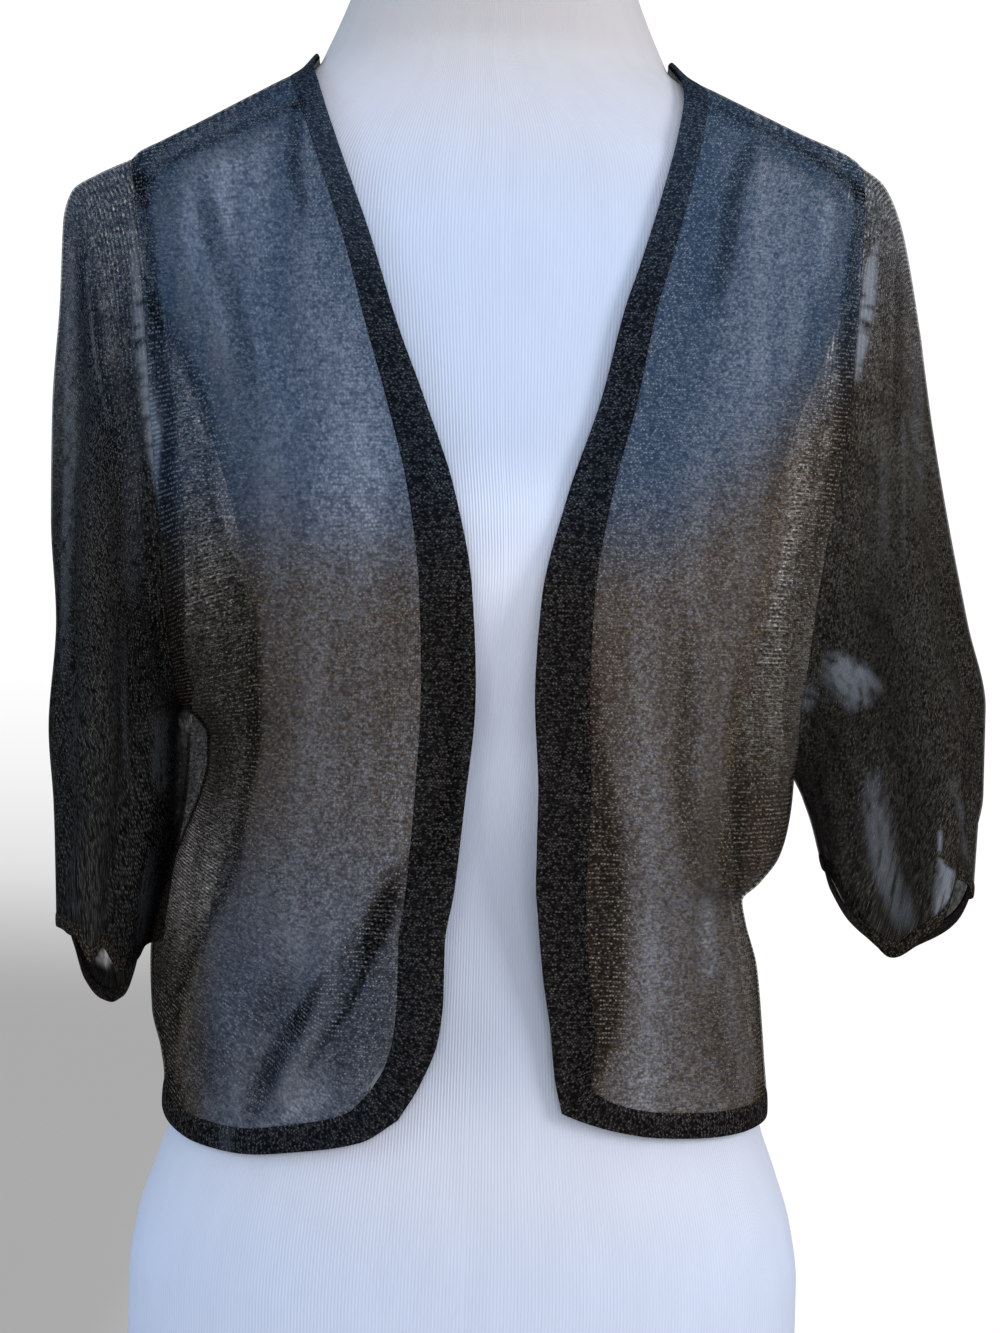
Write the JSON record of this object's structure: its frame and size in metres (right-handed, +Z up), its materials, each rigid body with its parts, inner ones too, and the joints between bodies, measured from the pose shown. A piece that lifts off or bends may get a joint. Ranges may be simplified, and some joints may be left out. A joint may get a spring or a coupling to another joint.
{
  "type": "open-front cardigan on a limbless dress form",
  "caption": "Sheer fine-knit cardigan with an open front, rounded front hem and half sleeves, standing on a limbless dress form.",
  "frame": {"origin": "middle of the dress form's flat underside, where it stands", "axes": "+Z up; the front of the garment faces -Y; +X is the wearer's left"},
  "size_m": [0.5043, 0.2504, 0.828],
  "materials": {
    "knit": "sheer single-layer fine knit, near black with fine metallic thread",
    "doubled": "the same knit doubled at the edges, darker and closer",
    "cover": "fine vertical-ribbed white stretch cover over a padded form"
  },
  "bodies": {
    "root": {"dress_form": "cover", "back": "knit", "front_right": "knit", "front_left": "knit", "sleeve_right": "knit", "sleeve_left": "knit", "front_band_right": "doubled", "front_band_left": "doubled", "neck_band_back": "doubled", "hem_band_back": "doubled", "hem_band_right": "doubled", "hem_band_left": "doubled", "cuff_band_right": "doubled", "cuff_band_left": "doubled"}
  },
  "joints": []
}
